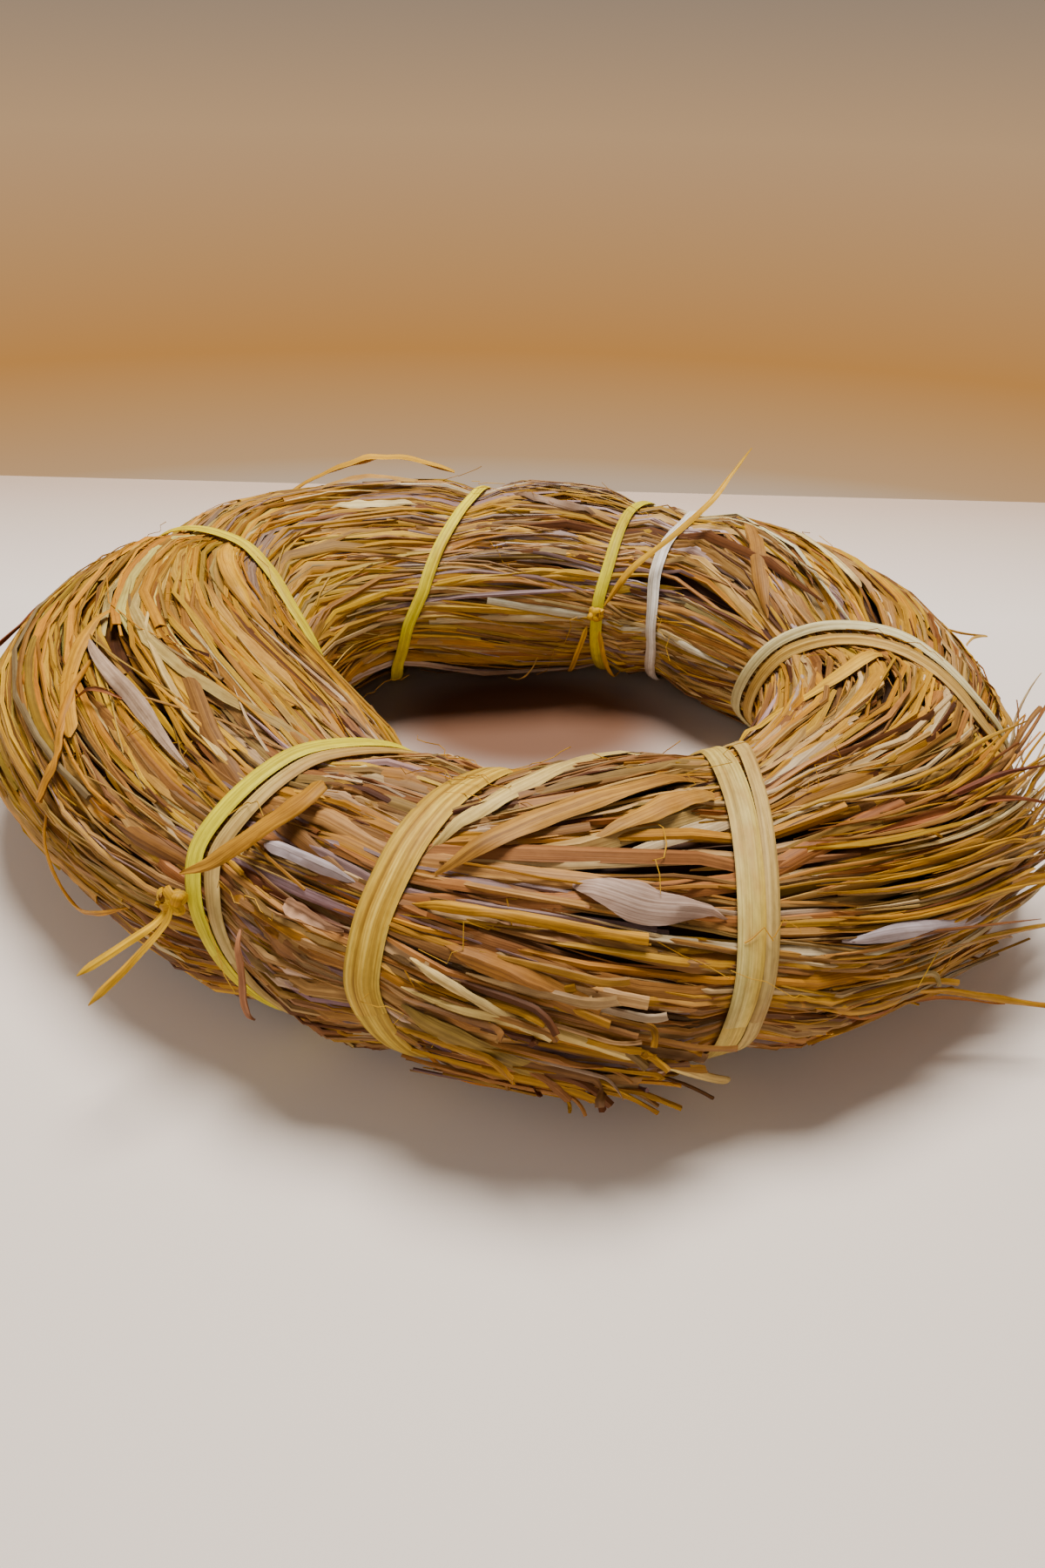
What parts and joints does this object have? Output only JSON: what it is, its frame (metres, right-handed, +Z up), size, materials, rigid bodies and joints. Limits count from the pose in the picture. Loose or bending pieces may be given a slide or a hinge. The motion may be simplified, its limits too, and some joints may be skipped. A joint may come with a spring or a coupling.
{
  "type": "bundle of raffia",
  "caption": "Flat-lying ring of long dried raffia strands, gathered and held by narrow raffia ties, with loose ends and leaves along it.",
  "frame": {"origin": "middle of the whole bundle's plan box, on the surface that it lies on", "axes": "+Z up through the ring's hole, out of the surface; +X along the ring's longer width, with the pictured front on -Y"},
  "size_m": [0.3234, 0.2964, 0.0873],
  "materials": {
    "straw": "pale straw-tan dried raffia leaf, satin, lengthwise veins",
    "ochre": "ochre to orange-brown dried raffia leaf, satin",
    "orange": "saturated orange-yellow dried raffia leaf, satin",
    "mauve": "grey-mauve dried raffia leaf, satin",
    "yellow": "bright yellow-green dried raffia strip, satin",
    "gold": "golden-tan dried raffia strip with fine brown streaks, satin",
    "pale_green": "pale green-yellow dried raffia strip with brownish smudges, satin",
    "white": "bleached white dried raffia strip, satin"
  },
  "bodies": {
    "root": {"back_leaf_inner": "straw", "back_leaf_right": "straw", "back_leaf_upper": "mauve", "back_tuft": "ochre", "back_tuft_second": "straw", "cream_leaf": "straw", "cut_leaf_lower": "straw", "cut_leaf_middle": "ochre", "cut_leaf_upper": "ochre", "fringe_fork": "ochre", "fringe_low": "ochre", "fringe_low_second": "ochre", "fringe_middle": "ochre", "fringe_red_brown": "ochre", "fringe_upper": "ochre", "front_leaf_middle": "straw", "front_leaf_short": "straw", "front_leaf_upper": "straw", "hanging_curl": "mauve", "hole_curl": "straw", "knot_back": "yellow", "knot_left_front": "yellow", "left_bent_leaf": "orange", "left_curl": "ochre", "left_leaf_lower": "mauve", "left_leaf_middle": "orange", "left_leaf_upper": "orange", "left_loop_strand": "orange", "left_tuft": "ochre", "lilac_leaf_left": "mauve", "lilac_leaf_right": "mauve", "low_leaf_left": "ochre", "low_leaf_middle": "ochre", "low_leaf_right": "straw", "pink_curl_leaf": "mauve", "raffia_bundle": "straw", "right_leaf_side": "straw", "right_leaf_upper": "ochre", "right_loop": "straw", "rolled_leaf": "mauve", "square_leaf": "straw", "tail_back_left": "yellow", "tail_back_long": "yellow", "tail_back_right": "yellow", "tail_front_leaf": "ochre", "tail_front_lower": "yellow", "tail_front_upper": "yellow", "tie_back_knot": "yellow", "tie_back_left": "yellow", "tie_back_white": "white", "tie_front_left": "gold", "tie_front_right": "pale_green", "tie_front_right_edge": "gold", "tie_left_back": "yellow", "tie_left_front": "yellow", "tie_left_front_edge": "gold", "tie_right": "pale_green", "tie_right_second": "gold"}
  },
  "joints": []
}
